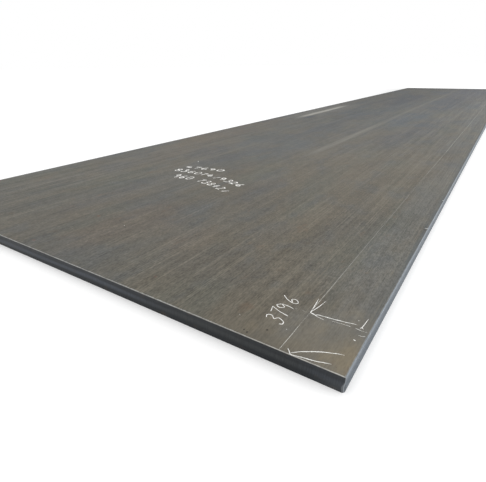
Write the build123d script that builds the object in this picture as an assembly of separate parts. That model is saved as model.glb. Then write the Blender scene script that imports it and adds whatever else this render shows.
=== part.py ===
from build123d import *
from math import hypot, radians, tan
import os

# A hot-rolled heavy steel plate, flame cut to size, lying flat.
# Frame: millimetres, +X across the plate, +Y along it, +Z up.
# The origin is the middle of the underside.

NODE = "steel_plate"

# The plate
WIDTH = 2500.0
LENGTH = 12410.0
THICKNESS = 50.0

# The cut edge, which runs round all four sides
KERF_LEAN = 0.5                # degrees the cut leans in on its way down
TOP_ARRIS_RADIUS = 2.5         # the flame melts the upper arris round
FLAT_CORNER_RADIUS = 1.5       # corners of the flat inside the upper arris
BOTTOM_ARRIS_CHAMFER = 1.0     # where the dross was chipped off

# The shallow hollow that the jet leaves below the upper arris
HOLLOW_TOP_GAP = 4.0           # from the top face down to the hollow
HOLLOW_HEIGHT = 25.0
HOLLOW_DEPTH = 1.2

# The bruise low on one corner, a scoop that reaches as far along both sides
BRUISE_TOP = 36.0              # above it the corner is whole
BRUISE_MIDDLE = 12.0           # height of its widest place
BRUISE_REACH = 9.0


def cut_blank():
    """The plate as the flame leaves it, with leaning sides and rounded plan corners."""
    plan = RectangleRounded(WIDTH, LENGTH, FLAT_CORNER_RADIUS + TOP_ARRIS_RADIUS)
    top_plane = Plane(origin=(0, 0, THICKNESS), x_dir=(1, 0, 0), z_dir=(0, 0, -1))
    return extrude(top_plane * plan, THICKNESS, taper=KERF_LEAN)


def soften_arrises(plate):
    """The upper arris melted round, then the lower one broken."""
    top_face = plate.faces().sort_by(Axis.Z)[-1]
    plate = fillet(top_face.edges(), TOP_ARRIS_RADIUS)
    underside = plate.faces().sort_by(Axis.Z)[0]
    return chamfer(underside.edges(), BOTTOM_ARRIS_CHAMFER)


def side_inset(height):
    """How far the leaning side stands in from the plan at a height above the underside."""
    return (THICKNESS - height) * tan(radians(KERF_LEAN))


def hollow_cutter():
    """A closed round tube beside all four sides, which dips into them by the hollow's depth."""
    half_chord = HOLLOW_HEIGHT / 2
    tube_radius = (half_chord**2 + HOLLOW_DEPTH**2) / (2 * HOLLOW_DEPTH)
    height = THICKNESS - HOLLOW_TOP_GAP - half_chord
    stand_off = tube_radius - HOLLOW_DEPTH - side_inset(height)
    path = RectangleRounded(
        WIDTH + 2 * stand_off,
        LENGTH + 2 * stand_off,
        FLAT_CORNER_RADIUS + TOP_ARRIS_RADIUS + stand_off,
    )
    path = Pos(0, 0, height) * path.wire()
    section = Plane(origin=path @ 0, z_dir=path % 0) * Circle(tube_radius)
    return sweep(section, path=path)


def bruise_cutter():
    """A ball that scoops the lower half of the near right corner."""
    half_height = BRUISE_TOP - BRUISE_MIDDLE
    face_radius = (half_height**2 + BRUISE_REACH**2) / (2 * BRUISE_REACH)
    stand_off = face_radius - BRUISE_REACH
    ball_radius = hypot(face_radius, stand_off)
    corner_x = WIDTH / 2 - side_inset(BRUISE_MIDDLE)
    corner_y = LENGTH / 2 - side_inset(BRUISE_MIDDLE)
    return Pos(corner_x + stand_off, -corner_y - stand_off, BRUISE_MIDDLE) * Sphere(ball_radius)


def steel_plate():
    """The whole plate, one piece of steel."""
    plate = soften_arrises(cut_blank())
    plate -= hollow_cutter()
    plate -= bruise_cutter()
    plate.label = NODE
    return plate


os.makedirs("parts", exist_ok=True)
export_step(steel_plate(), f"parts/{NODE}.step")
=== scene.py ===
import math

import bpy
import numpy as np
from mathutils import Matrix, Vector


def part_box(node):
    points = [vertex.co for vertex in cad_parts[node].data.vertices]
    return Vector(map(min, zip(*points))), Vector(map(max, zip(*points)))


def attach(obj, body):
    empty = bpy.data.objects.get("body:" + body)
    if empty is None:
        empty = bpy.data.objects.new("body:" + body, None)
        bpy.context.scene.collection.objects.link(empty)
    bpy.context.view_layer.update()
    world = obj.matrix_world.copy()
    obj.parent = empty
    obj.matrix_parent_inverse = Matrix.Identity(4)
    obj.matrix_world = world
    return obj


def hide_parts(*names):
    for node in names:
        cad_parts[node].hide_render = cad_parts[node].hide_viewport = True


# A flame-cut steel plate on a pale floor: mill scale, cut edges, chalk marks.
# Lengths are in metres unless a comment says millimetres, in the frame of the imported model.

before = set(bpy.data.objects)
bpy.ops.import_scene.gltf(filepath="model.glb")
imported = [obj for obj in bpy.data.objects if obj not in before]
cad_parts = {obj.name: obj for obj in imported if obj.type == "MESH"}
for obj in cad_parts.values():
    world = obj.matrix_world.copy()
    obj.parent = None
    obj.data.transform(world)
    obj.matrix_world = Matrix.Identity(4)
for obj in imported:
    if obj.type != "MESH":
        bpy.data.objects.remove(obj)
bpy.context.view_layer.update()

NODE = "steel_plate"
MM = 0.001

_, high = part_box(NODE)
HALF_WIDTH = high.x
HALF_LENGTH = high.y
TOP = high.z

# The cut edge's section
KERF_LEAN = math.radians(0.5)
ARRIS_RADIUS = 2.5 * MM
CORNER_REACH = 5 * MM
CORNER_RADIUS = 1.5 * MM
LEAST_CORNER_RADIUS = 0.4 * MM
CHAMFER = 1 * MM
HOLLOW_TOP_GAP = 4 * MM
HOLLOW_HEIGHT = 25 * MM
HOLLOW_DEPTH = 1.2 * MM

# The bruise on the near right corner
BRUISE_TOP = 36 * MM
BRUISE_MIDDLE = 12 * MM
BRUISE_REACH = 9 * MM

# The skin of the plate lies this far inside the solid's faces, which leaves room for the chalk
SKIN = 0.25 * MM

# The rolled face's long low waves: how deep they are, and how many lie over each other
RIPPLE = 0.2 * MM
RIPPLE_WAVES = 7

# The torch's wander and the melt of the arris change along the edge in waves: (share, spacing, seed)
EDGE_WANDER = 0.35 * MM
WANDER_WAVES = [(0.5, 0.9, 5), (0.3, 0.21, 6), (0.2, 0.05, 8)]
MELT_WAVES = [(0.35, 0.13, 7), (0.25, 0.045, 9)]
MELT_MIDDLE = 0.3
# They die out this far from where the outline closes
CLOSING_REACH = 0.1

# The arris is melted less at the near right corner: its share there, where that starts to change, and over how far
CRISP_CORNER = 0.4
CRISP_START = 2 * MM
CRISP_REACH = 12 * MM

# A painted highlight runs all the way down the plan's corners: how strong, where they face sideways by more than the
# second number
CORNER_SHINE = 0.7
CORNER_SHINE_TURN = 0.6

# Spacing of the mesh: the cut edge's columns, and how many of them share a line of the flat faces
STEP = 16 * MM
FINE_STEP = 1.2 * MM
GROWTH = 1.3
COLUMNS_PER_LINE = 4
CORNER_TURNS = 6
SHARP_ANGLE = math.radians(28)

# Rows down the cut edge: the arris turns from the top face to the side, in degrees, and its pale colour, partly a
# painted highlight, fades on the way
ARRIS_ROWS = [(90, 1.0), (72, 0.9), (54, 0.75), (36, 0.6), (18, 0.45), (0, 0.3)]
HOLLOW_ROWS = 9
LOWER_ROWS = 5

# Small knocks in the upper arris: half their length and their depth, in millimetres
LONG_SIDES = ("right", "left")
SHORT_SIDES = ("near", "far")
NICKS_ALONG = 14
NICKS_ACROSS = 4
NICK_REACH = (3, 8)
NICK_DEPTH = (0.5, 1.3)
NICK_DROP = 0.6
# The one that shows in the photo, in the right side: its place from the near end, half its length and its depth
SEEN_NICK = (1060 * MM, 5 * MM, 1.6 * MM)


# Small tools

def smooth(t):
    """Eases from 0 to 1."""
    t = np.clip(t, 0, 1)
    return t * t * (3 - 2 * t)


def wander(at, spacing, seed):
    """A smooth random line from 0 to 1 that turns about every spacing."""
    at = np.asarray(at, float)
    knots = np.random.default_rng(seed).random(int(at.max() / spacing) + 3)
    place = at / spacing
    before = place.astype(int)
    t = smooth(place - before)
    return knots[before] * (1 - t) + knots[before + 1] * t


def waves(at, parts):
    """Smooth random lines, each with its share, added up."""
    return sum(share * wander(at, spacing, seed) for share, spacing, seed in parts)


def placed(name, data):
    """A new object in the scene."""
    thing = bpy.data.objects.new(name, data)
    bpy.context.scene.collection.objects.link(thing)
    return thing


# The plate's mesh

def growing_steps():
    """Distances from a corner, which grow until they are a full step apart."""
    found, gap = [0.0], FINE_STEP
    while gap < STEP:
        found.append(found[-1] + gap)
        gap *= GROWTH
    return np.array(found)


def stations(half, nicks):
    """Where the mesh lines cross a side that runs from -half to half."""
    ends = growing_steps()
    inner = half - ends[-1]
    middle = np.linspace(-inner, inner, int(2 * inner / STEP) + 1)
    extra = [nick.at + offset * nick.reach for nick in nicks for offset in (-1, -0.5, 0, 0.5, 1)]
    return np.unique(np.concatenate([-half + ends, middle, half - ends, extra]))


def thinned(places):
    """Every few places with both ends, and for each place the number of the nearest kept one."""
    kept = places[np.unique(np.append(np.arange(0, len(places), COLUMNS_PER_LINE), len(places) - 1))]
    return kept, abs(places[:, None] - kept[None, :]).argmin(1)


class Nick:
    """A small knock in the upper arris of one side."""

    def __init__(self, side, at, reach, depth):
        self.side = side
        self.at = at
        self.reach = reach
        self.depth = depth


def scatter_nicks(sides, half, count, seed):
    """Nicks in sides that run from -half to half, clear of their ends."""
    random = np.random.default_rng(seed)
    return [
        Nick(
            side=sides[random.integers(len(sides))],
            at=random.uniform(-0.95, 0.95) * half,
            reach=random.uniform(*NICK_REACH) * MM,
            depth=random.uniform(*NICK_DEPTH) * MM,
        )
        for _ in range(count)
    ]


def plan_outline(xs, ys):
    """Points, outward normals and side names of the plan, anticlockwise from the near right corner.

    A corner's columns all lie at its inner point, and inset_plan moves them out.
    """
    straight_x, straight_y = HALF_WIDTH - SKIN, HALF_LENGTH - SKIN
    centre_x, centre_y = straight_x - CORNER_REACH, straight_y - CORNER_REACH
    sides = [
        ("right", [(straight_x, y) for y in ys], (1, 0)),
        ("far", [(x, straight_y) for x in xs[::-1]], (0, 1)),
        ("left", [(-straight_x, y) for y in ys[::-1]], (-1, 0)),
        ("near", [(x, -straight_y) for x in xs], (0, -1)),
    ]
    corners = [(centre_x, centre_y), (-centre_x, centre_y), (-centre_x, -centre_y), (centre_x, -centre_y)]
    points, normals, names = [], [], []
    for turn, ((name, places, normal), corner) in enumerate(zip(sides, corners)):
        points += places
        normals += [normal] * len(places)
        names += [name] * len(places)
        for k in range(1, CORNER_TURNS):
            angle = math.radians(90 * (turn + (k - 1) / (CORNER_TURNS - 2)))
            points.append(corner)
            normals.append((math.cos(angle), math.sin(angle)))
            names.append("corner")
    return np.array(points), np.array(normals), np.array(names)


def inset_plan(outline, normals, names, inset):
    """The plan moved in by inset, given for each column and row. Corners keep a small radius however deep it is."""
    corner = (names == "corner")[:, None]
    radius = np.maximum(CORNER_RADIUS - inset, LEAST_CORNER_RADIUS)
    centre = CORNER_REACH - inset - radius
    moved = []
    for axis in (0, 1):
        place, normal = outline[:, None, axis], normals[:, None, axis]
        turned = place + np.sign(place) * centre + normal * radius
        moved.append(np.where(corner, turned, place - normal * inset))
    return moved


def edge_section():
    """(inset, height, arris share) down the cut edge, from the top face's rim to the underside's."""
    rows = []
    for degrees, share in ARRIS_ROWS:
        angle = math.radians(degrees)
        inset = ARRIS_RADIUS * (1 - math.cos(angle))
        rows.append((inset, TOP - ARRIS_RADIUS * (1 - math.sin(angle)), share))
    hollow_top = TOP - HOLLOW_TOP_GAP
    hollow_end = hollow_top - HOLLOW_HEIGHT
    for t in np.linspace(0, 1, HOLLOW_ROWS):
        dip = HOLLOW_DEPTH * (1 - (2 * t - 1) ** 2)
        rows.append((dip, hollow_top - t * HOLLOW_HEIGHT, 0.0))
    for height in np.linspace(hollow_end, CHAMFER, LOWER_ROWS)[1:]:
        rows.append((0.0, height, 0.0))
    rows.append((CHAMFER, 0.0, 0.0))
    lean = math.tan(KERF_LEAN)
    return np.array([(inset + (TOP - height) * lean, height, share) for inset, height, share in rows])


def ripple(x, y):
    """How far the rolled face dips at a place, in long low waves."""
    random = np.random.default_rng(11)
    total = np.zeros(np.broadcast(x, y).shape)
    for _ in range(RIPPLE_WAVES):
        along, across, phase = random.uniform(1.5, 6), random.uniform(0.5, 5), random.uniform(0, 6.3)
        total = total + np.sin(along * y + across * x + phase)
    return RIPPLE * (0.5 + total / (2 * RIPPLE_WAVES))


def bruise(points):
    """The points, with those in the bruise's ball pushed level out to its surface, and which ones those are."""
    half_height = BRUISE_TOP - BRUISE_MIDDLE
    face_radius = (half_height**2 + BRUISE_REACH**2) / (2 * BRUISE_REACH)
    stand_off = face_radius - BRUISE_REACH
    radius = math.hypot(face_radius, stand_off)
    centre = np.array([HALF_WIDTH + stand_off, -HALF_LENGTH - stand_off])
    away = points[..., :2] - centre
    distance = np.linalg.norm(away, axis=-1)
    reach = np.sqrt(np.maximum(radius**2 - (points[..., 2] - BRUISE_MIDDLE) ** 2, 0))
    scooped = points.copy()
    scooped[..., :2] = centre + away * np.maximum(1, reach / distance)[..., None]
    return scooped, distance < reach


# Where the faces lie in the plate's UV map: (left, width) for the flat faces, and narrow strips for the edge
TOP_MAP = (0.004, 0.632)
UNDERSIDE_MAP = (0.642, 0.196)
FLAT_HALF_SHARE = 0.498
STRIP_WIDTH = 0.044
STRIP_STARTS = {"right": (0.846, 0.001), "left": (0.898, 0.001), "near": (0.952, 0.001), "far": (0.952, 0.505)}
LONG_SIDE_SHARE = 0.998
SHORT_SIDE_SHARE = 0.494


def edge_strips(names, around):
    """For each column, the places in the UV map of its line and the next one. Each side takes the corner after it."""
    columns = len(names)
    side, first = "right", 0.0
    found = []
    for column in range(columns):
        if names[column] not in ("corner", side):
            side, first = names[column], around[column]
        u, v = STRIP_STARTS[side]
        if side in LONG_SIDES:
            share = LONG_SIDE_SHARE / (2 * HALF_LENGTH)
        else:
            share = SHORT_SIDE_SHARE / (2 * HALF_WIDTH)
        gap = around[column + 1] - around[column] if column + 1 < columns else MM
        here = v + share * (around[column] - first)
        found.append(((u, here), (u, here + share * gap)))
    return found


def torch_line(outline, normals, names):
    """For each column: its distance round the plate, the torch's wander inwards and the share of the arris's melt."""
    outermost = np.stack(inset_plan(outline, normals, names, np.zeros((len(outline), 1))), -1)[:, 0]
    around = np.concatenate([[0], np.cumsum(np.linalg.norm(np.diff(outermost, axis=0), axis=1))])
    steady = smooth(np.minimum(around, around[-1] - around) / CLOSING_REACH)
    inward = EDGE_WANDER * steady * waves(around, WANDER_WAVES)
    from_corner = np.linalg.norm(outermost - (HALF_WIDTH, -HALF_LENGTH), axis=1)
    melt = CRISP_CORNER + (1 - CRISP_CORNER) * smooth((from_corner - CRISP_START) / CRISP_REACH)
    melt += steady * (waves(around, MELT_WAVES) - MELT_MIDDLE)
    return around, inward, melt


def rim_points(outline, normals, names, section, inward, melt, nicks):
    """The cut edge's points, for each column and row, and which of them are bruised."""
    melted = section[None, :, 2] > 0
    rim = np.zeros((len(outline), len(section), 3))
    inset = section[None, :, 0] * np.where(melted, melt[:, None], 1) + inward[:, None]
    rim[..., 0], rim[..., 1] = inset_plan(outline, normals, names, inset)
    rim[..., 2] = section[None, :, 1]
    for nick in nicks:
        away = abs(outline[:, 1 if nick.side in LONG_SIDES else 0] - nick.at)
        near_it = (names == nick.side) & (away < nick.reach)
        share = np.where(near_it, 1 - smooth(away / nick.reach), 0)
        down = smooth(1 - (TOP - section[:, 1]) / (5 * nick.depth))
        knock = nick.depth * share[:, None] * down[None, :]
        rim[..., 0] -= normals[:, None, 0] * knock
        rim[..., 1] -= normals[:, None, 1] * knock
        rim[..., 2] -= NICK_DROP * knock
    rim[..., 2] = np.where(melted, rim[..., 2] - SKIN, rim[..., 2])
    return bruise(rim)


def build_plate():
    """One closed mesh: top and underside as grids, and the cut edge as rows between them."""
    at, reach, depth = SEEN_NICK
    along_nicks = scatter_nicks(LONG_SIDES, HALF_LENGTH, NICKS_ALONG, seed=3)
    along_nicks.append(Nick("right", at - HALF_LENGTH, reach, depth))
    across_nicks = scatter_nicks(SHORT_SIDES, HALF_WIDTH, NICKS_ACROSS, seed=4)
    xs = stations(HALF_WIDTH - SKIN - CORNER_REACH, across_nicks)
    ys = stations(HALF_LENGTH - SKIN - CORNER_REACH, along_nicks)
    outline, normals, names = plan_outline(xs, ys)
    line_xs, x_line = thinned(xs)
    line_ys, y_line = thinned(ys)
    section = edge_section()
    columns, rows = len(outline), len(section)
    around, inward, melt = torch_line(outline, normals, names)
    rim, bruised = rim_points(outline, normals, names, section, inward, melt, along_nicks + across_nicks)

    verts = list(map(tuple, rim.reshape(-1, 3)))
    faces, slots, spots = [], [], []
    strip_places = edge_strips(names, around)

    def rim_vertex(column, row):
        return (column % columns) * rows + row

    for column in range(columns):
        (u, v), (ahead_u, ahead_v) = strip_places[column]
        for row in range(rows - 1):
            faces.append((
                rim_vertex(column, row), rim_vertex(column, row + 1),
                rim_vertex(column + 1, row + 1), rim_vertex(column + 1, row),
            ))
            slots.append(1)
            upper, lower = STRIP_WIDTH * row / (rows - 1), STRIP_WIDTH * (row + 1) / (rows - 1)
            spots += [(u + upper, v), (u + lower, v), (ahead_u + lower, ahead_v), (ahead_u + upper, ahead_v)]

    def add_grid(height, top):
        """A grid inside the rim, with the ring of faces that joins the two."""
        grid_x, grid_y = np.meshgrid(line_xs, line_ys, indexing="ij")
        grid_z = height - ripple(grid_x, grid_y) if top else height + 0 * grid_x
        start = len(verts)
        grid = np.stack([grid_x, grid_y, grid_z], -1).reshape(-1, 3)
        verts.extend(map(tuple, grid))
        left, width = TOP_MAP if top else UNDERSIDE_MAP

        def cell(i, j):
            return start + i * len(line_ys) + j

        def add(face):
            faces.append(tuple(face) if top else tuple(face[::-1]))
            slots.append(0)
            for vertex in faces[-1]:
                x, y, _ = verts[vertex]
                u, v = left + width * (0.5 + 0.5 * x / HALF_WIDTH), 0.5 + FLAT_HALF_SHARE * y / HALF_LENGTH
                spots.append((u, v))

        for i in range(len(line_xs) - 1):
            for j in range(len(line_ys) - 1):
                add((cell(i, j), cell(i + 1, j), cell(i + 1, j + 1), cell(i, j + 1)))
        last_x, last_y = len(line_xs) - 1, len(line_ys) - 1
        inner = [cell(last_x, j) for j in y_line] + [cell(last_x, last_y)] * (CORNER_TURNS - 1)
        inner += [cell(i, last_y) for i in x_line[::-1]] + [cell(0, last_y)] * (CORNER_TURNS - 1)
        inner += [cell(0, j) for j in y_line[::-1]] + [cell(0, 0)] * (CORNER_TURNS - 1)
        inner += [cell(i, 0) for i in x_line] + [cell(last_x, 0)] * (CORNER_TURNS - 1)
        row = 0 if top else rows - 1
        for column in range(columns):
            ahead = (column + 1) % columns
            face = [inner[column], rim_vertex(column, row), rim_vertex(ahead, row), inner[ahead]]
            if face[0] == face[3]:
                face.pop()
            add(face)

    add_grid(TOP - SKIN, top=True)
    add_grid(0.0, top=False)

    mesh = bpy.data.meshes.new("plate")
    mesh.from_pydata(verts, [], faces)
    mesh.polygons.foreach_set("material_index", slots)
    mesh.uv_layers.new(name="OFBake").uv.foreach_set("vector", np.array(spots, np.float32).reshape(-1))
    # What the materials need to know of each point, with 0 for those of the flat faces
    # arris carries the arris's pale colour with its painted highlight, which also runs down the sideways corners;
    # sideways picks the long sides' painted lighter colours
    turned = (names == "corner") & (abs(normals[:, 0]) > CORNER_SHINE_TURN)
    arris = np.maximum(section[None, :, 2], CORNER_SHINE * turned[:, None])
    sideways = np.repeat(normals[:, 0] ** 2, rows)
    for name, values in (("arris", arris), ("worn", bruised), ("sideways", sideways)):
        padded = np.zeros(len(verts), np.float32)
        padded[:columns * rows] = values.reshape(-1)
        mesh.attributes.new(name, "FLOAT", "POINT").data.foreach_set("value", padded)
    mesh.shade_smooth()
    mesh.set_sharp_from_angle(angle=SHARP_ANGLE)
    mesh.update()
    return placed("plate", mesh)


# Chalk. Places are in millimetres: across from the middle of the width, along from the near end.

CHALK_HEIGHT = 0.2 * MM
CHALK_SINK = 0.25 * MM
LEAST_WIDTH = 0.3
WRITING_WIDTH = 9.2
NUMBER_WIDTH = 3.0
# How far apart a line's points are, in millimetres, and how even in width a firm line is
FINE_SPACING = 1.5
WRITING_SPACING = 2.5
FIRM = 0.85

# Corner marks: an arrow at the layout line with a tick beside it, and an arrow at the near end.
# Each point has its place and the line's width there, all in millimetres.
CORNER_STROKES = [
    [(1066, 273, 1.0), (1069, 248, 2.9), (1072, 220, 3.3), (1075, 192, 4.2)],
    [(1090, 272, 0.9), (1087, 255, 1.8), (1085, 242, 2.9), (1080, 220, 3.0), (1077, 208, 2.6), (1074, 203, 2.6)],
    [(1075, 192, 4.2), (1084, 191, 4.6), (1092, 188, 3.7), (1099, 185, 2.4), (1121, 181, 1.4)],
    [(1092, 189, 3.3), (1097, 194, 3.5), (1105, 195, 2.5), (1116, 196, 2.4), (1126, 197, 3.5), (1136, 198, 3.0),
     (1147, 199, 2.9), (1158, 201, 4.0), (1168, 202, 2.4), (1182, 204, 2.8), (1194, 207, 2.4), (1207, 208, 0.8)],
    [(1142, 188, 0.3), (1155, 189, 0.6), (1168, 190, 0.9), (1184, 191, 1.1), (1194, 191, 2.1)],
    [(1208, 192, 0.5), (1216, 190, 2.2), (1225, 189, 1.0), (1233, 189, 0.6), (1241, 189, 0.5)],
    [(1226, 252, 0.7), (1225, 240, 1.7), (1224, 225, 2.1), (1222, 201, 3.3)],
    [(1222, 204, 2.6), (1219, 197, 2.2)],
    [(1222, 203, 2.6), (1226, 200, 2.0), (1228, 196, 0.8)],
    [(1225, 165, 0.7), (1227, 166, 1.2), (1233, 166, 0.9), (1239, 169, 1.3), (1242, 170, 0.8)],
    [(1090, 20, 2.4), (1098, 12, 2.6), (1104, 4, 3.5)],
    [(1104, 9, 1.7), (1111, 15, 2.3), (1122, 25, 2.9), (1142, 38, 3.2), (1160, 49, 3.6), (1172, 55, 2.8),
     (1181, 59, 3.4), (1192, 63, 2.2), (1199, 66, 3.3), (1207, 69, 1.9), (1221, 72, 0.7)],
    [(1104, 4, 3.5), (1112, 4, 2.5), (1136, 9, 2.8), (1155, 12, 3.6), (1166, 14, 3.1), (1177, 17, 2.3),
     (1186, 20, 3.1), (1197, 23, 2.0), (1205, 25, 0.7)],
]
# Two flecks beside the right edge, further along
EDGE_TICK = [(1236, 1034, 2.6), (1241, 1038, 3.4), (1246, 1041, 3.4)]
EDGE_DAB = (1245, 1486, 7)
# Dabs at the corner, and around the writing: place and size
DABS = [(1205, 230, 4), (1222, 141, 6), (1052, 86, 3), (907, 74, 3)]
FAR_DABS = [(-456, 1540, 14), (77, 365, 5)]

# Handwritten figures in a cell one wide and one high
FIGURES = {
    " ": [],
    "0": [[(0.52, 1.0), (0.16, 0.78), (0.10, 0.32), (0.42, 0.0), (0.80, 0.24), (0.86, 0.72), (0.50, 0.98)]],
    "1": [[(0.56, 1.0), (0.50, 0.5), (0.42, 0.0)]],
    "2": [[(0.12, 0.76), (0.36, 1.0), (0.74, 0.80), (0.48, 0.40), (0.10, 0.03), (0.45, 0.07), (0.90, 0.0)]],
    "3": [[(0.14, 0.92), (0.52, 1.0), (0.74, 0.78), (0.38, 0.55)],
          [(0.38, 0.55), (0.80, 0.38), (0.62, 0.06), (0.26, 0.0), (0.06, 0.14)]],
    "4": [[(0.42, 1.0), (0.26, 0.68), (0.08, 0.38), (0.46, 0.36), (0.88, 0.40)],
          [(0.66, 0.74), (0.62, 0.36), (0.54, 0.0)]],
    "6": [[(0.72, 1.0), (0.30, 0.66), (0.12, 0.24), (0.42, 0.0), (0.80, 0.18), (0.62, 0.44), (0.18, 0.30)]],
    "7": [[(0.08, 0.92), (0.42, 0.95), (0.84, 1.0)], [(0.84, 1.0), (0.52, 0.5), (0.36, 0.0)]],
    "8": [[(0.50, 0.52), (0.18, 0.76), (0.50, 1.0), (0.80, 0.78), (0.50, 0.52), (0.14, 0.24), (0.48, 0.0),
           (0.84, 0.24), (0.50, 0.52)]],
    "9": [[(0.80, 0.78), (0.50, 1.0), (0.18, 0.76), (0.44, 0.52), (0.80, 0.74), (0.72, 0.32), (0.52, 0.0)]],
}


class Row:
    """A row of figures. The baseline goes from start to end and swells up by bow between them.

    heights are the figures' heights at the start and at the end. A space keeps its place.
    """

    def __init__(self, figures, start, end, bow, heights):
        self.figures = figures
        self.start = np.array(start, float)
        self.end = np.array(end, float)
        self.bow = bow
        self.heights = heights


WRITING = [
    Row("47690 ", (-420, 1346), (-52, 1392), 4, (52, 48)),
    Row("83607419326 ", (-432, 1240), (250, 1120), 46, (64, 42)),
    Row("960 738421", (-324, 1104), (178, 998), 48, (74, 42)),
]
CORNER_NUMBER = Row("3796", (1031, 94), (1021, 241), 0, (60, 56))


def spline(points, spacing):
    """A smooth line through the points, sampled about every spacing."""
    p = np.array(points, float)
    if len(p) == 2:
        p = np.array([p[0], (p[0] + p[1]) / 2, p[1]])
    padded = np.vstack([2 * p[0] - p[1], p, 2 * p[-1] - p[-2]])
    found = []
    for a, b, c, d in zip(padded, padded[1:], padded[2:], padded[3:]):
        count = max(2, int(np.linalg.norm((c - b)[:2]) / spacing))
        for t in np.arange(count) / count:
            found.append(
                0.5 * (2 * b + (c - a) * t + (2 * a - 5 * b + 4 * c - d) * t**2 + (3 * b - a - 3 * c + d) * t**3)
            )
    found.append(p[-1])
    return np.array(found)


def figure_strokes(row, random):
    """The strokes of a row of figures, each one a little off the row's line, size and slant."""
    strokes = []
    reach = row.end - row.start
    length = np.linalg.norm(reach)
    along = reach / length
    for place, figure in enumerate(row.figures):
        share = place / len(row.figures)
        height = np.interp(share, (0, 1), row.heights) * random.uniform(0.9, 1.1)
        width = length / len(row.figures) * random.uniform(0.78, 0.92)
        slope = math.atan2(along[1], along[0]) + 4 * row.bow * (1 - 2 * share) / length
        slope += random.uniform(-0.08, 0.08)
        right = np.array([math.cos(slope), math.sin(slope)])
        up = np.array([-right[1], right[0]]) + right * random.uniform(-0.05, 0.25)
        origin = row.start + reach * share + np.array([0, 4 * row.bow * share * (1 - share)])
        for stroke in FIGURES[figure]:
            strokes.append([origin + right * width * u + up * height * v for u, v in stroke])
    return strokes


class Chalk:
    """Gathers chalk lines as low closed ridges on the plate, with rough sides and gaps."""

    def __init__(self, name, seed):
        self.name = name
        self.random = np.random.default_rng(seed)
        self.verts = []
        self.faces = []

    def line(self, points, spacing, width=None, gaps=0.0, even=0.72):
        """A line through points with its ends thinned out, as wide as width or as the points' third numbers.

        gaps is the share of the line that is missing. The width changes along the line, from even to 2 - even times
        what is given.
        """
        path = spline(points, spacing)
        if width is None:
            path, width = path[:, :2], np.maximum(path[:, 2], LEAST_WIDTH)
        count = len(path)
        along = np.gradient(path, axis=0)
        along /= np.linalg.norm(along, axis=1, keepdims=True)
        across = np.stack([-along[:, 1], along[:, 0]], 1)
        far = np.concatenate([[0], np.cumsum(np.linalg.norm(np.diff(path, axis=0), axis=1))])
        press = wander(far, 9.0, int(self.random.integers(1 << 30)))
        ends = smooth(np.minimum(far, far[-1] - far) / (2.0 * width) + 0.45)
        half = 0.5 * width * (even + 2 * (1 - even) * press) * ends
        left = half * (1 + 0.2 * self.random.standard_normal(count)).clip(0.4, 1.6)
        right = half * (1 + 0.2 * self.random.standard_normal(count)).clip(0.4, 1.6)
        drawn = np.flatnonzero(press > np.quantile(press, gaps)) if gaps else np.arange(count)
        for span in np.split(drawn, np.flatnonzero(np.diff(drawn) > 1) + 1):
            if len(span) > 2:
                self.ridge(path, across, left, right, span)

    def ridge(self, path, across, left, right, span):
        """A closed ridge over the path's points in span: flat on top, with feet sunk in the plate."""
        first = len(self.verts)
        for k in span:
            x, y = path[k]
            floor = TOP - SKIN - ripple(x * MM, y * MM - HALF_LENGTH)
            for side, lift in (
                (-left[k], -CHALK_SINK),
                (-0.5 * left[k], CHALK_HEIGHT),
                (0.5 * right[k], CHALK_HEIGHT),
                (right[k], -CHALK_SINK),
            ):
                px, py = path[k] + across[k] * side
                self.verts.append((px * MM, py * MM - HALF_LENGTH, float(floor) + lift))
        count = len(span)
        for k in range(count - 1):
            a, b = first + 4 * k, first + 4 * (k + 1)
            for edge in range(4):
                after = (edge + 1) % 4
                self.faces.append((a + edge, b + edge, b + after, a + after))
        self.faces.append((first, first + 1, first + 2, first + 3))
        last = first + 4 * (count - 1)
        self.faces.append((last + 3, last + 2, last + 1, last))

    def dab(self, x, y, size):
        """A short smear."""
        turn = self.random.uniform(0, math.pi)
        reach = np.array([math.cos(turn), math.sin(turn)]) * size / 2
        centre = np.array([x, y], float)
        self.line([centre - reach, centre, centre + reach], spacing=1.0, width=size * 0.7)

    def finish(self):
        """The piece that holds all that was drawn."""
        mesh = bpy.data.meshes.new(self.name)
        mesh.from_pydata(self.verts, [], self.faces)
        mesh.update()
        return placed(self.name, mesh)


def draw_corner_marks():
    """The two arrows at the near right corner, and the dabs and flecks around them."""
    chalk = Chalk("chalk_corner_marks", seed=21)
    for stroke in CORNER_STROKES:
        chalk.line(stroke, FINE_SPACING, even=FIRM)
    for dab in DABS:
        chalk.dab(*dab)
    chalk.line(EDGE_TICK, FINE_SPACING, even=FIRM)
    chalk.dab(*EDGE_DAB)
    return chalk.finish()


def draw_corner_number():
    """The figures read along the plate, with their tops to the left."""
    chalk = Chalk("chalk_corner_number", seed=22)
    for stroke in figure_strokes(CORNER_NUMBER, chalk.random):
        chalk.line(stroke, FINE_SPACING, NUMBER_WIDTH)
    return chalk.finish()


def draw_writing():
    """The three rows of figures in the near part of the plate, and two dabs."""
    chalk = Chalk("chalk_writing", seed=23)
    for row in WRITING:
        for stroke in figure_strokes(row, chalk.random):
            chalk.line(stroke, WRITING_SPACING, WRITING_WIDTH, even=0.42)
    for dab in FAR_DABS:
        chalk.dab(*dab)
    return chalk.finish()


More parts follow.
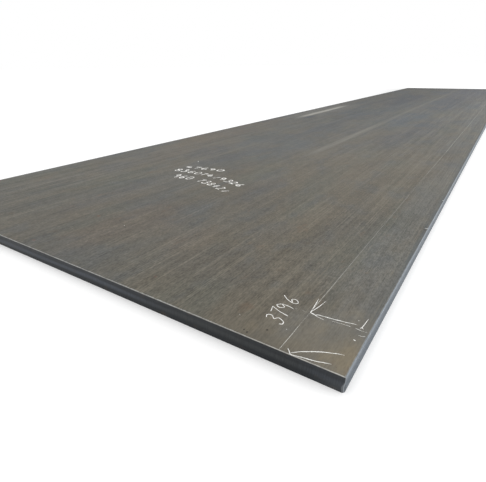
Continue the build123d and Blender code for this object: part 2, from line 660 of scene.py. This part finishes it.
# The layout line beside the right edge, in pieces: places and width. The points of long pieces lie further apart.
LONG_PIECE = 500
LONG_SPACING = 24
SHORT_SPACING = 5
LAYOUT_LINE = [
    ([(1072.6, 6), (1073.4, 60), (1073.0, 128)], 2.4),
    ([(1073.0, 118), (1073.2, 192)], 0.6),
    ([(1073.4, 200), (1074.0, 400)], 2.3),
    ([(1074.0, 390), (1073.6, 640)], 1.8),
    ([(1073.6, 620), (1073.4, 1200), (1074.0, 1500)], 1.8),
    ([(1074.0, 1480), (1075.4, 2020)], 1.1),
    ([(1075.4, 2000), (1080.6, 2820)], 3.4),
    ([(1080.6, 2780), (1081.5, 4000), (1084.0, 5000), (1084.0, 8500), (1082, 12402)], 6.0),
]
CROSS_LINE = ([(1026, 189), (1048, 190), (1070, 189)], 0.9)


def draw_layout_lines():
    """The long thin line beside the right edge, and the faint one across it."""
    chalk = Chalk("layout_lines", seed=24)
    for points, width in LAYOUT_LINE:
        spacing = LONG_SPACING if points[-1][1] - points[0][1] > LONG_PIECE else SHORT_SPACING
        chalk.line(points, spacing, width, even=0.6)
    points, width = CROSS_LINE
    chalk.line(points, 3, width, gaps=0.35, even=0.4)
    return chalk.finish()


# Materials

class Nodes:
    """A node tree, with short ways to add to it. A value is a socket, a number or a colour."""

    def __init__(self, tree):
        self.tree = tree

    def put(self, socket, value):
        if isinstance(value, bpy.types.NodeSocket):
            self.tree.links.new(value, socket)
        else:
            socket.default_value = value

    def add(self, kind, *values, settings=None, **inputs):
        """A new node. The values go to its first sockets, and the inputs to those of their names."""
        node = self.tree.nodes.new(kind)
        for key, value in (settings or {}).items():
            setattr(node, key, value)
        for socket, value in zip(node.inputs, values):
            self.put(socket, value)
        for key, value in inputs.items():
            self.put(node.inputs[key.replace("_", " ")], value)
        return node

    def math(self, operation, *values):
        return self.add("ShaderNodeMath", *values, settings={"operation": operation}).outputs[0]

    def vector_math(self, operation, *values):
        return self.add("ShaderNodeVectorMath", *values, settings={"operation": operation}).outputs["Vector"]

    def total(self, first, *others):
        """The sum of the values."""
        for value in others:
            first = self.math("ADD", first, value)
        return first

    def product(self, first, *others):
        """The product of the values."""
        for value in others:
            first = self.math("MULTIPLY", first, value)
        return first

    def off(self, value, middle):
        """How far value is from middle, either way."""
        return self.math("ABSOLUTE", self.math("SUBTRACT", value, middle))

    def ramp(self, value, low, high, to_low=0.0, to_high=1.0, shape="SMOOTHSTEP"):
        """value from low to high becomes to_low to to_high, held beyond and eased unless shape says otherwise."""
        node = self.add(
            "ShaderNodeMapRange", settings={"interpolation_type": shape},
            Value=value, From_Min=low, From_Max=high, To_Min=to_low, To_Max=to_high,
        )
        return node.outputs[0]

    def vector(self, x, y, z):
        return self.add("ShaderNodeCombineXYZ", x, y, z).outputs[0]

    def noise_at(self, vector, detail, rough=0.5):
        return self.add("ShaderNodeTexNoise", Vector=vector, Scale=1.0, Detail=detail, Roughness=rough).outputs["Fac"]

    def mix(self, share, a, b, blend="MIX"):
        node = self.add("ShaderNodeMix", share, settings={"data_type": "RGBA", "blend_type": blend})
        self.put(node.inputs[6], a)
        self.put(node.inputs[7], b)
        return node.outputs[2]

    def brighten(self, colour, gain):
        """colour times a grey gain."""
        return self.mix(1.0, colour, self.vector(gain, gain, gain), "MULTIPLY")

    def attribute(self, name):
        return self.add("ShaderNodeAttribute", settings={"attribute_name": name}).outputs["Fac"]


class Paint(Nodes):
    """A new material's nodes, with the place on the object."""

    def __init__(self, name):
        self.material = bpy.data.materials.new(name)
        self.material.use_nodes = True
        super().__init__(self.material.node_tree)
        self.shader = self.tree.nodes["Principled BSDF"]
        self.place = self.add("ShaderNodeTexCoord").outputs["Object"]
        self.x, self.y, self.z = self.add("ShaderNodeSeparateXYZ", self.place).outputs

    def along(self, start, stop, to_start=0.0, to_stop=1.0):
        """A ramp along the plate. start and stop are in metres from the near end."""
        return self.ramp(self.y, start - HALF_LENGTH, stop - HALF_LENGTH, to_start, to_stop)

    def noise(self, across, along, up=1.0, shift=0.0, detail=2, rough=0.5):
        """Noise that turns so many times in a metre across, along and up the plate."""
        scaled = self.add(
            "ShaderNodeMapping", Vector=self.place, Scale=(across, along, up), Location=(shift, shift, shift),
        )
        return self.noise_at(scaled.outputs[0], detail, rough)

    def streaks(self, across, along, shift, swing, detail=2):
        """Noise from -swing to swing."""
        return self.ramp(self.noise(across, along, shift=shift, detail=detail), 0.3, 0.7, -swing, swing)

    def spot(self, x, y, across, along, ragged=0.35):
        """1 inside a ragged oval and 0 outside. Millimetres: x from the middle, y from the near end."""
        right = self.product(self.math("SUBTRACT", self.x, x * MM), 1 / (across * MM))
        ahead = self.product(self.math("SUBTRACT", self.y, y * MM - HALF_LENGTH), 1 / (along * MM))
        away = self.math("SQRT", self.total(self.product(right, right), self.product(ahead, ahead)))
        rough = self.noise(SPOT_TURNS / across, SPOT_TURNS / along, shift=x * MM)
        return self.ramp(self.total(away, self.product(rough, 2 * ragged), -ragged), 0.35, 1.0, 1.0, 0.0)

    def finish(self, colour, roughness, specular, height, depth):
        """Sets up the shader, with height as a bump this deep, and gives the material."""
        bump = self.add("ShaderNodeBump", Height=height, Distance=depth)
        self.put(self.shader.inputs["Base Color"], colour)
        self.put(self.shader.inputs["Roughness"], roughness)
        self.put(self.shader.inputs["Specular IOR Level"], specular)
        self.put(self.shader.inputs["Normal"], bump.outputs[0])
        return self.material


SCALE_SPECULAR = 0.15
SCALE_BUMP = 0.00012
WARM = (0.126, 0.111, 0.085, 1)
NEUTRAL = (0.112, 0.109, 0.096, 1)
COOL = (0.082, 0.094, 0.103, 1)
GREENISH = (0.102, 0.107, 0.091, 1)
BLUISH = (0.098, 0.106, 0.124, 1)
SHADE = (0.082, 0.094, 0.100, 1)
SAND = (0.168, 0.153, 0.116, 1)
CORNER_BROWN = (0.205, 0.174, 0.122, 1)
RUST = (0.140, 0.096, 0.066, 1)
DARK_SCALE = (0.030, 0.025, 0.022, 1)
SCRATCH = (0.335, 0.325, 0.292, 1)
STREAK = (0.172, 0.165, 0.145, 1)
# The top face's pale rim: partly bare metal at the melted edge, partly a painted highlight
RIM_WARM = (0.560, 0.580, 0.580, 1)
RIM_COOL = (0.230, 0.245, 0.255, 1)
PALE = (0.143, 0.141, 0.130, 1)
DUSKY = (0.066, 0.074, 0.086, 1)
BROWNISH = (0.150, 0.116, 0.084, 1)
RED_RUST = (0.210, 0.105, 0.075, 1)

# Patches that show, in the order in which they are laid over each other. A spot has its place across and along, its
# half size across and along, and its strength. Places are in millimetres from the middle and from the near end.
PATCHES = [
    (COOL, [
        (-135, 6814, 320, 1100, 0.6), (341, 5123, 260, 700, 0.5), (529, 4232, 300, 420, 0.45),
        (-886, 1137, 160, 260, 0.35), (-186, 3553, 260, 500, 0.35), (-170, 2350, 330, 1150, 0.42),
    ]),
    (PALE, [
        (1175, 620, 110, 700, 0.6), (1160, 1800, 120, 1100, 0.5), (1195, 225, 85, 140, 0.75),
        (1210, 175, 70, 90, 0.9), (1140, 120, 190, 140, 0.6), (1085, 400, 80, 170, 0.35),
        (-980, 5600, 400, 1400, 0.9), (-1130, 6100, 130, 1500, 0.4), (-1115, 5000, 110, 1400, 0.85),
        (1100, 6400, 140, 2300, 0.42),
    ]),
    (CORNER_BROWN, [
        (1215, 55, 66, 120, 0.9), (1140, 90, 190, 110, 0.36), (1200, 212, 75, 105, 0.36),
        (960, 47, 24, 32, 0.35), (1160, 140, 44, 44, 0.34),
    ]),
    (BROWNISH, [
        (90, 420, 260, 460, 0.36), (440, 400, 140, 220, 0.25), (-1090, 2900, 300, 1500, 0.35),
        (-300, 560, 170, 420, 0.12), (-720, 1900, 260, 700, 0.14), (-860, 1400, 320, 800, 0.10),
    ]),
    (DUSKY, [
        (-650, 7800, 260, 1600, 0.4), (-320, 8100, 300, 2100, 0.8), (-320, 3700, 200, 1000, 0.3),
        (550, 7500, 260, 2100, 0.75), (710, 4300, 230, 1000, 0.4), (600, 3300, 220, 800, 0.5),
        (-330, 1650, 190, 420, 0.28), (-620, 1900, 190, 460, 0.42), (50, 3500, 130, 800, 0.22),
        # (-868, 4490) is a painted shadow beside the rubbed scratch
        (-150, 4800, 180, 600, 0.2), (-868, 4490, 85, 230, 0.9), (840, 3450, 130, 600, 0.22),
        (-375, 7250, 180, 800, 0.2), (650, 300, 330, 230, 0.14), (375, 1050, 130, 480, 0.13),
        (1075, 110, 60, 80, 0.12), (-375, 620, 130, 420, 0.16), (690, 650, 100, 200, 0.2),
        (290, 1270, 150, 300, 0.25),
    ]),
    (RED_RUST, [(-127, 383, 16, 12, 0.5), (-124, 52, 14, 9, 0.5), (538, 103, 9, 7, 0.45)]),
]
SPOT_TURNS = 2200.0

# Pits: place and half size, as for the spots
PITS = [(954, 24, 3.3, 3.7), (967, 19, 3.7, 4.8), (1008, 56, 3.8, 4.6), (1239, 1018, 4.5, 8.0)]
PIT_RAGGED = 0.2

# Lines along the scale, in metres: how far they lie from the middle of the width, and the scratch from the near end
STREAK_X = 0.170
LAYOUT_X = 1.0742
SCRATCH_X = -0.963
SCRATCH_MIDDLE = 5.3


def tinted(n, broad):
    """The scale's colour before its texture: broad patches, the patches that show, and small blotches."""
    far_end = n.along(0.8, 5.0)
    warm_share = n.total(n.ramp(broad, 0.36, 0.64, 0.0, 0.8), n.product(far_end, -0.25))
    colour = n.mix(warm_share, NEUTRAL, WARM)
    cool_patches = n.ramp(n.noise(2.0, 0.6, shift=7.0, detail=3), 0.44, 0.68)
    colour = n.mix(n.product(cool_patches, n.ramp(far_end, 0.0, 1.0, 0.45, 0.85)), colour, COOL)
    colour = n.mix(n.product(far_end, 0.25), colour, COOL)
    colour = n.mix(n.product(n.along(5.0, 12.0, 0.0, 0.8), n.ramp(n.x, -0.3, 0.5)), colour, BLUISH)
    greenish_patches = n.noise(4.0, 1.2, shift=3.0, detail=3)
    colour = n.mix(n.ramp(greenish_patches, 0.48, 0.7, 0.0, 0.55), colour, GREENISH)
    for tint, spots in PATCHES:
        for x, y, across, along, strength in spots:
            colour = n.mix(n.product(n.spot(x, y, across, along), strength), colour, tint)
    blotch = n.noise(7.0, 3.5, shift=15.0, detail=4, rough=0.6)
    colour = n.mix(n.ramp(blotch, 0.50, 0.70, 0.0, 0.40), colour, WARM)
    return n.mix(n.ramp(blotch, 0.50, 0.32, 0.0, 0.32), colour, COOL)


def rolled(n, broad):
    """The streaks that run the length of the plate."""
    hair = n.streaks(380.0, 2.6, 2.0, 0.070, 1)
    fine = n.streaks(150.0, 1.8, 1.0, 0.062)
    medium = n.streaks(60.0, 0.6, 4.0, 0.032)
    wide = n.streaks(17.0, 0.3, 6.0, 0.050)
    # Stronger at the right, and more so beyond the first metre and a half
    at_right = n.along(1.3, 1.9, 1.12, 1.55)
    return n.product(
        n.total(hair, fine, medium, wide),
        n.ramp(broad, 0.35, 0.65, 1.05, 0.66),
        n.along(0.9, 1.6, 1.45, 1.0),
        n.ramp(n.x, 0.4, 0.95, 0.85, at_right),
    )


def brightness(n, lengthwise, grain, mottle):
    """The scale's brightness, about 1, which is calmer beside the near right corner and holds painted light across
    the far half.
    """
    clouds = n.streaks(30.0, 14.0, 27.0, 0.08, 3)
    broad_clouds = n.streaks(5.0, 2.2, 17.0, 0.05, 3)
    to_corner = n.total(HALF_WIDTH + HALF_LENGTH, n.math("SUBTRACT", n.y, n.x))
    texture = n.product(
        n.total(lengthwise, grain, mottle, clouds, broad_clouds), n.ramp(to_corner, 0.15, 0.6, 0.34, 1.0),
    )
    # The far half is darker at its left side and paler at its right: painted light falling across it
    slant = n.product(n.ramp(n.x, -0.8, 1.2, -0.23, 0.14), n.along(1.0, 7.0, 0.1, 1.0))
    middle = n.product(n.along(2.2, 3.2), n.along(9.0, 11.5, 1.0, 0.0), -0.03)
    return n.total(0.99, texture, slant, middle)


def marked(n, colour):
    """Adds pale dashes, the faint streak, the dust rubbed off beside the layout line, and the rubbed scratch."""
    dashes = n.noise(110.0, 7.0, shift=11.0, detail=1)
    colour = n.mix(n.ramp(dashes, 0.66, 0.78, 0.0, 0.55), colour, SAND)
    streak = n.product(
        n.ramp(n.off(n.x, STREAK_X), 0.010, 0.055, 1.0, 0.0),
        n.along(1.9, 2.6),
        n.along(3.4, 4.6, 1.0, 0.5),
        n.ramp(n.noise(40.0, 1.5), 0.35, 0.6, 0.5, 1.0),
    )
    colour = n.mix(streak, colour, STREAK)
    haze = n.product(
        n.ramp(n.off(n.x, LAYOUT_X), 0.001, 0.008, 0.3, 0.0),
        n.along(0.30, 0.46),
        n.along(0.65, 0.9, 1.0, 0.4),
        n.along(1.2, 2.0, 1.0, 0.0),
    )
    colour = n.mix(haze, colour, STREAK)
    swerve = n.product(n.noise(0.0, 1.5), 0.03)
    off_scratch = n.math("ABSOLUTE", n.total(n.x, -SCRATCH_X, swerve))
    scratch = n.product(
        n.ramp(off_scratch, 0.008, 0.075, 1.0, 0.0),
        n.ramp(n.off(n.y, SCRATCH_MIDDLE - HALF_LENGTH), 0.50, 1.15, 1.0, 0.0),
        n.ramp(n.noise(90.0, 4.0, shift=2.0), 0.35, 0.6, 0.65, 1.0),
    )
    return n.mix(scratch, colour, SCRATCH)


def rimmed(n, colour, grain):
    """Adds the shade beside the long sides and the pale rim along all four, which is partly bare metal at the melted
    edge and partly a painted highlight.
    """
    to_side = n.math("SUBTRACT", HALF_WIDTH, n.math("ABSOLUTE", n.x))
    to_end = n.math("SUBTRACT", HALF_LENGTH, n.math("ABSOLUTE", n.y))
    beside = n.product(
        n.ramp(to_side, 0.008, 0.024, 0.7, 0.0),
        n.along(0.3, 0.75),
        n.ramp(n.noise(9.0, 6.0, shift=5.0), 0.35, 0.55, 0.35, 1.0),
    )
    colour = n.mix(beside, colour, SHADE)
    # The rim is pale metal with a painted highlight, wider at the right
    rim_width = n.ramp(n.x, 0.6, 1.1, 0.0065, 0.0048)
    nearest = n.math("MINIMUM", n.product(to_side, n.along(0.3, 1.3, 0.8, 1.1)), to_end)
    rim = n.ramp(nearest, n.product(rim_width, 0.56), rim_width, 0.78, 0.0)
    rim_colour = n.mix(n.ramp(to_side, 0.003, 0.008), RIM_COOL, RIM_WARM)
    return n.mix(n.product(rim, n.ramp(grain, -0.12, 0.12, 0.4, 1.0)), colour, rim_colour)


def mill_scale():
    """Grey oxide with fine streaks along the rolling direction, in warm, greenish and blue patches."""
    n = Paint("mill_scale")
    broad = n.noise(0.9, 0.3, shift=0.4, detail=3)
    lengthwise = rolled(n, broad)
    grain = n.streaks(230.0, 72.0, 8.0, 0.19, 3)
    mottle = n.streaks(112.0, 34.0, 5.0, 0.17, 3)
    colour = n.mix(n.ramp(lengthwise, 0.0, 0.2, 0.0, 0.4), tinted(n, broad), SAND)
    colour = n.brighten(colour, brightness(n, lengthwise, grain, mottle))
    colour = rimmed(n, marked(n, colour), grain)

    rust_spots = n.noise(16.0, 8.0, shift=9.0, detail=5, rough=0.6)
    near_end = n.along(0.0, 4.0, 1.0, 0.0)
    rust = n.product(n.ramp(rust_spots, 0.60, 0.74, 0.0, 0.42), n.ramp(near_end, 0.0, 1.0, 0.4, 1.0))
    colour = n.mix(rust, colour, RUST)
    specks = n.ramp(n.noise(190.0, 140.0, shift=13.0, detail=1), 0.74, 0.80, 0.0, 0.7)
    colour = n.mix(specks, colour, DARK_SCALE)
    pits = 0.0
    for x, y, across, along in PITS:
        pits = n.math("MAXIMUM", pits, n.spot(x, y, across, along, PIT_RAGGED))
    colour = n.mix(pits, colour, DARK_SCALE)

    roughness = n.total(n.ramp(lengthwise, -0.2, 0.2, 0.66, 0.58), n.product(mottle, 0.4))
    height = n.total(n.product(lengthwise, 2.0), grain, n.product(pits, -3.0), n.product(specks, -0.5))
    return n.finish(colour, roughness, SCALE_SPECULAR, height, SCALE_BUMP)


EDGE_SPECULAR = 0.15
EDGE_BUMP = 0.00035
# EDGE_DARK is the ends' oxide with painted shade, EDGE_MIDDLE and EDGE_NEUTRAL their painted paler band; SIDE_LOW and
# SIDE_HIGH are the long sides, painted lighter and paler higher up
EDGE_DARK = (0.023, 0.026, 0.029, 1)
EDGE_MIDDLE = (0.078, 0.087, 0.103, 1)
EDGE_NEUTRAL = (0.080, 0.085, 0.086, 1)
SIDE_LOW = (0.066, 0.080, 0.096, 1)
SIDE_HIGH = (0.116, 0.134, 0.154, 1)
EDGE_WORN = (0.110, 0.120, 0.130, 1)
EDGE_RUST = (0.080, 0.060, 0.045, 1)
# The arris's pale colours: partly bare metal, partly a painted highlight
ARRIS_WARM = (0.390, 0.375, 0.345, 1)
ARRIS_COOL = (0.212, 0.236, 0.262, 1)
DRAG_LAG = 3.0


def end_face(n, bands):
    """The short sides: dark, with painted shade as they face away from the light, a painted paler band about half way
    up where the hollow faces up, neutral grey towards the right, and painted shade lower down at the right.
    """
    # band and higher are painted light on the ends: a paler band where the hollow faces up, and paler higher up at
    # the right
    middle = n.total(n.ramp(bands, 0.3, 0.7, 0.024, 0.028), n.ramp(n.x, -0.4, 0.3, -0.004, 0.0))
    band = n.product(n.ramp(n.off(n.z, middle), 0.001, 0.013, 1.0, 0.0), n.ramp(n.x, 0.4, 0.8, 1.0, 0.45), 0.75)
    higher = n.product(n.ramp(n.z, 0.005, 0.045, 0.0, 0.14), n.ramp(n.x, -0.4, 0.3))
    painted_light_and_bands = n.total(band, higher, n.ramp(bands, 0.3, 0.7, -0.05, 0.05))
    neutral = n.product(n.ramp(n.x, 0.5, 0.8), n.ramp(n.x, 1.10, 1.19, 1.0, 0.0))
    colour = n.mix(painted_light_and_bands, EDGE_DARK, n.mix(neutral, EDGE_MIDDLE, EDGE_NEUTRAL))
    return n.mix(n.product(neutral, 0.6), colour, n.brighten(colour, 0.93))


def cut_edge():
    """Blue-grey oxide of a flame cut with drag lines that trail towards the underside, and painted light: long sides
    lighter than the ends and paler higher up, a paler middle on the ends, and a bright arris that is partly pale
    melted metal, partly a painted highlight.
    """
    n = Paint("cut_edge")
    depth = n.math("SUBTRACT", TOP, n.z)
    along = n.total(n.x, n.y, n.product(depth, depth, DRAG_LAG))

    def edge_noise(turns_along, turns_up, shift, detail):
        """Noise that trails as the drag lines do."""
        return n.noise_at(n.vector(n.product(along, turns_along), n.product(n.z, turns_up), shift), detail)

    drag = edge_noise(380.0, 12.0, 0.0, 2)
    bands = edge_noise(4.0, 30.0, 3.0, 3)
    blooms = edge_noise(22.0, 45.0, 9.0, 4)
    long_side = n.attribute("sideways")
    # The long sides are painted lighter than the ends, as they face the light, and rise paints them paler higher up
    # and darker lower down
    rise = n.total(n.ramp(n.z, 0.010, 0.047), n.ramp(bands, 0.3, 0.7, -0.15, 0.15))
    colour = n.mix(long_side, end_face(n, bands), n.mix(rise, SIDE_LOW, SIDE_HIGH))
    colour = n.brighten(colour, n.ramp(drag, 0.3, 0.7, 0.85, 1.15))
    colour = n.mix(n.ramp(blooms, 0.58, 0.74, 0.0, 0.4), colour, EDGE_RUST)
    colour = n.mix(n.product(n.attribute("worn"), 0.9), colour, EDGE_WORN)
    rubbed = n.product(
        n.ramp(n.x, 1.150, 1.225, 0.0, 0.34),
        n.ramp(n.z, 0.016, 0.034, 1.0, 0.15),
        n.ramp(bands, 0.3, 0.6, 0.7, 1.0),
        n.math("SUBTRACT", 1.0, long_side),
    )
    colour = n.mix(rubbed, colour, EDGE_WORN)

    # The arris's pale colour is partly the melted edge's bare metal and partly a painted highlight: strongest where
    # it faces up, brighter towards the right, and down the sideways corners
    arris = n.attribute("arris")
    melted = n.mix(long_side, n.ramp(arris, 0.45, 0.9), n.ramp(arris, 0.0, 0.5))
    patchy = n.ramp(n.noise(70.0, 70.0, 70.0, detail=3), 0.25, 0.6, 0.6, 1.0)
    bright = n.mix(long_side, n.brighten(ARRIS_WARM, n.ramp(n.x, 0.55, 1.2, 0.62, 1.3)), ARRIS_COOL)
    colour = n.mix(n.product(melted, patchy), colour, bright)
    height = n.total(drag, n.product(bands, 2.0))
    return n.finish(colour, n.ramp(drag, 0.3, 0.7, 0.42, 0.55), EDGE_SPECULAR, height, EDGE_BUMP)


CHALK_SPECULAR = 0.1
CHALK_BUMP = 0.0002
CHALK_WHITE = (0.95, 0.945, 0.92, 1)
CHALK_THIN = (0.80, 0.79, 0.755, 1)
LAYOUT_WHITE = (0.53, 0.52, 0.48, 1)
LAYOUT_THIN = (0.26, 0.255, 0.23, 1)
LAYOUT_FAR_SHARE = 0.6


def chalk_dust(name, thick, thin, far_share=1.0):
    """Matt dust, thinner over the scale's grain. far_share is how bright it still is beyond 0.7 m."""
    n = Paint(name)
    grain = n.noise(900.0, 500.0, 900.0)
    patches = n.noise(120.0, 60.0, 120.0)
    share = n.product(n.ramp(grain, 0.35, 0.6, 0.5, 1.0), n.ramp(patches, 0.3, 0.55, 0.75, 1.0))
    colour = n.mix(share, thin, thick)
    if far_share < 1:
        colour = n.brighten(colour, n.along(0.15, 0.7, 1.0, far_share))
    return n.finish(colour, n.ramp(grain, 0.3, 0.7, 0.85, 1.0), CHALK_SPECULAR, grain, CHALK_BUMP)


# The stage

WHITE = (1, 1, 1, 1)
SKY_LEVEL = 0.55
FLOOR_COLOUR = (0.84, 0.84, 0.84, 1)
FLOOR_ROUGHNESS = 0.9
FLOOR_HALF = 300.0
LAMP_POWER = 520

# How much the floor glows where it is seen: beside the plate, far from it, and between which distances that changes
NEAR_FILL = 0.24
FAR_FILL = 0.75
FILL_RISES = (0.15, 2.5)


def seen_directly(n):
    """1 for rays that show the background: camera, glossy and transmission rays."""
    rays = n.add("ShaderNodeLightPath").outputs
    camera_or_glossy = n.math("MAXIMUM", rays["Is Camera Ray"], rays["Is Glossy Ray"])
    return n.math("MAXIMUM", camera_or_glossy, rays["Is Transmission Ray"])


def make_world():
    """White where it is seen, and dimmer as a light."""
    world = bpy.data.worlds.new("studio")
    world.use_nodes = True
    n = Nodes(world.node_tree)
    background = n.tree.nodes["Background"]
    n.put(background.inputs["Color"], WHITE)
    n.put(background.inputs["Strength"], n.ramp(seen_directly(n), 0.0, 1.0, SKY_LEVEL, 1.0, "LINEAR"))
    bpy.context.scene.world = world


def make_floor():
    """A wide pale floor under the plate."""
    n = Paint("floor")
    outside = n.vector_math("SUBTRACT", n.vector_math("ABSOLUTE", n.place), (HALF_WIDTH, HALF_LENGTH, 0))
    outside = n.vector_math("MAXIMUM", outside, (0, 0, 0))
    away = n.add("ShaderNodeVectorMath", outside, settings={"operation": "LENGTH"}).outputs["Value"]
    fill = n.product(seen_directly(n), n.ramp(away, *FILL_RISES, NEAR_FILL, FAR_FILL, "LINEAR"))
    n.put(n.shader.inputs["Base Color"], FLOOR_COLOUR)
    n.put(n.shader.inputs["Roughness"], FLOOR_ROUGHNESS)
    n.put(n.shader.inputs["Specular IOR Level"], 0.0)
    n.put(n.shader.inputs["Emission Color"], WHITE)
    n.put(n.shader.inputs["Emission Strength"], fill)
    mesh = bpy.data.meshes.new("floor")
    s = FLOOR_HALF
    mesh.from_pydata([(-s, -s, 0), (s, -s, 0), (s, s, 0), (-s, s, 0)], [], [(0, 1, 2, 3)])
    mesh.materials.append(n.material)
    floor = placed("floor", mesh)


def area_light(name, place, aim, size):
    """A lamp at a place, turned to aim, that the camera doesn't see."""
    lamp = bpy.data.lights.new(name, "AREA")
    lamp.shape = "RECTANGLE"
    lamp.size, lamp.size_y = size
    lamp.energy = LAMP_POWER
    light = placed(name, lamp)
    light.location = place
    light.rotation_euler = (Vector(aim) - Vector(place)).to_track_quat("-Z", "Y").to_euler()
    light.visible_camera = False


# The camera, at the photograph's place

CAMERA_PLACE = (1.4248, -6.8851, 0.7032)
CAMERA_YAW = math.radians(33.720)
CAMERA_PITCH = math.radians(24.598)
CAMERA_ROLL = math.radians(-0.813)
LENS = 28.247
SENSOR_WIDTH = 36
CLIP = (0.05, 600)


def make_camera():
    data = bpy.data.cameras.new("camera")
    data.lens = LENS
    data.sensor_width = SENSOR_WIDTH
    data.clip_start, data.clip_end = CLIP
    camera = placed("camera", data)
    turn = Matrix.Rotation(CAMERA_YAW, 4, "Z") @ Matrix.Rotation(math.pi / 2 - CAMERA_PITCH, 4, "X")
    camera.matrix_world = Matrix.Translation(CAMERA_PLACE) @ turn @ Matrix.Rotation(CAMERA_ROLL, 4, "Z")
    bpy.context.scene.camera = camera


# The scene

plate = build_plate()
plate.data.materials.append(mill_scale())
plate.data.materials.append(cut_edge())
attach(plate, "root")
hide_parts(NODE)

dust = chalk_dust("chalk_dust", CHALK_WHITE, CHALK_THIN)
faint = chalk_dust("layout_chalk", LAYOUT_WHITE, LAYOUT_THIN, LAYOUT_FAR_SHARE)
for mark, finish in (
    (draw_corner_marks(), dust),
    (draw_corner_number(), dust),
    (draw_writing(), dust),
    (draw_layout_lines(), faint),
):
    mark.data.materials.append(finish)
    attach(mark, "root")

make_world()
make_floor()
area_light("overhead", (0, -3, 9), (0, -2, 0), (10, 14))
area_light("right_side", (8, -2, 1.8), (0, -1, 0), (12, 3))
make_camera()
bpy.context.scene.view_settings.view_transform = "Standard"
